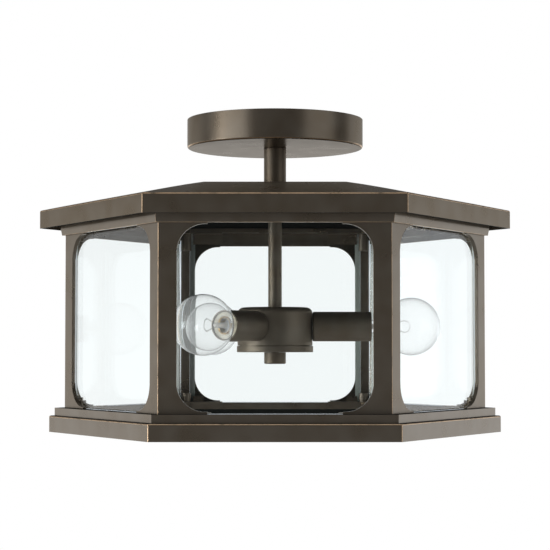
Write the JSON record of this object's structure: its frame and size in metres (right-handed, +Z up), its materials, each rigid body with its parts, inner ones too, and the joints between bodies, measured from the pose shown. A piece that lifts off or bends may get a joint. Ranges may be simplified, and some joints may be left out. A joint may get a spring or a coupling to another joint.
{
  "type": "ceiling_light",
  "caption": "Hexagonal outdoor semi-flush ceiling lantern in dark rubbed bronze with clear glass panes, a domed roof, a round canopy and a cluster of clear globe lamps",
  "frame": {"origin": "On the ceiling plane, at the centre of the canopy and midway between the strap's two slots", "axes": "+Z is up, towards the ceiling; -Y is the front, the flat face seen in the picture; +X is to the right"},
  "size_m": [0.4084, 0.3536, 0.2704],
  "materials": {
    "cast_bronze_coat": "dark rubbed bronze coat on cast aluminium, copper showing at the edges",
    "sheet_bronze_coat": "dark rubbed bronze coat on formed steel",
    "clear_pane_glass": "clear flat glass",
    "clear_lamp_glass": "clear blown glass",
    "plain_brass": "drawn brass",
    "cream_liner": "cream insulating body",
    "green_screw": "green coated steel",
    "malleable_iron": "as cast",
    "wire_insulation": "black insulation",
    "connector_plastic": "moulded plastic",
    "zinc_steel": "zinc plated steel"
  },
  "bodies": {
    "fixture": {"base_ring": "cast_bronze_coat", "bottom_pane_clips": "sheet_bronze_coat", "bottom_post_screws": "sheet_bronze_coat", "canopy": "sheet_bronze_coat", "centre_contact_1": "plain_brass", "centre_contact_2": "plain_brass", "centre_contact_3": "plain_brass", "centre_pipe": "zinc_steel", "cluster_cup": "sheet_bronze_coat", "corner_post_1": "cast_bronze_coat", "corner_post_2": "cast_bronze_coat", "corner_post_3": "cast_bronze_coat", "corner_post_4": "cast_bronze_coat", "corner_post_5": "cast_bronze_coat", "corner_post_6": "cast_bronze_coat", "glass_pane_1": "clear_pane_glass", "glass_pane_2": "clear_pane_glass", "glass_pane_3": "clear_pane_glass", "glass_pane_4": "clear_pane_glass", "glass_pane_5": "clear_pane_glass", "glass_pane_6": "clear_pane_glass", "ground_screw": "green_screw", "hickey": "malleable_iron", "lead_wires": "wire_insulation", "lock_nuts": "zinc_steel", "lower_stem": "sheet_bronze_coat", "mounting_strap": "zinc_steel", "roof": "cast_bronze_coat", "roof_screws": "sheet_bronze_coat", "screw_shell_1": "plain_brass", "screw_shell_2": "plain_brass", "screw_shell_3": "plain_brass", "socket_cover_1": "sheet_bronze_coat", "socket_cover_2": "sheet_bronze_coat", "socket_cover_3": "sheet_bronze_coat", "socket_liner_1": "cream_liner", "socket_liner_2": "cream_liner", "socket_liner_3": "cream_liner", "socket_nipples": "zinc_steel", "top_pane_clips": "sheet_bronze_coat", "top_post_screws": "sheet_bronze_coat", "top_ring": "cast_bronze_coat", "upper_stem": "sheet_bronze_coat", "wire_connectors": "connector_plastic"},
    "lamp_1_carrier": {"lamp_button_1": "plain_brass"},
    "lamp_1": {"lamp_glass_1": "clear_lamp_glass", "lamp_cap_1": "plain_brass", "lamp_mount_1": "clear_lamp_glass"},
    "lamp_2_carrier": {"lamp_button_2": "plain_brass"},
    "lamp_2": {"lamp_glass_2": "clear_lamp_glass", "lamp_cap_2": "plain_brass", "lamp_mount_2": "clear_lamp_glass"},
    "lamp_3_carrier": {"lamp_button_3": "plain_brass"},
    "lamp_3": {"lamp_glass_3": "clear_lamp_glass", "lamp_cap_3": "plain_brass", "lamp_mount_3": "clear_lamp_glass"},
    "cover": {"cluster_cover": "sheet_bronze_coat"},
    "finial": {"finial": "sheet_bronze_coat"}
  },
  "joints": [
    {"name": "lamp_1_travel", "type": "slide", "parent": "fixture", "child": "lamp_1_carrier", "axis": [1, 0, 0], "range_m": [0, 0.0103]},
    {"name": "lamp_1_turn", "type": "hinge", "parent": "lamp_1_carrier", "child": "lamp_1", "pos_m": [0.075, 0, -0.1795], "axis": [1, 0, 0], "range_deg": [0, 1440]},
    {"name": "lamp_2_travel", "type": "slide", "parent": "fixture", "child": "lamp_2_carrier", "axis": [-0.5, 0.866, 0], "range_m": [0, 0.0103]},
    {"name": "lamp_2_turn", "type": "hinge", "parent": "lamp_2_carrier", "child": "lamp_2", "pos_m": [-0.0375, 0.06495, -0.1795], "axis": [-0.5, 0.866, 0], "range_deg": [0, 1440]},
    {"name": "lamp_3_travel", "type": "slide", "parent": "fixture", "child": "lamp_3_carrier", "axis": [-0.5, -0.866, 0], "range_m": [0, 0.0103]},
    {"name": "lamp_3_turn", "type": "hinge", "parent": "lamp_3_carrier", "child": "lamp_3", "pos_m": [-0.0375, -0.06495, -0.1795], "axis": [-0.5, -0.866, 0], "range_deg": [0, 1440]},
    {"name": "cover_travel", "type": "slide", "parent": "fixture", "child": "cover", "axis": [0, 0, -1], "range_m": [0, 0.00564]},
    {"name": "finial_turn", "type": "hinge", "parent": "cover", "child": "finial", "pos_m": [0, 0, -0.2], "axis": [0, 0, -1], "range_deg": [0, 2166]}
  ],
  "couplings": [
    {"joint": "lamp_1_travel", "follows": "lamp_1_turn", "m_per_rad": 0.00040425},
    {"joint": "lamp_2_travel", "follows": "lamp_2_turn", "m_per_rad": 0.00040425},
    {"joint": "lamp_3_travel", "follows": "lamp_3_turn", "m_per_rad": 0.00040425},
    {"joint": "finial_turn", "follows": "cover_travel", "rad_per_m": 6684.2}
  ]
}
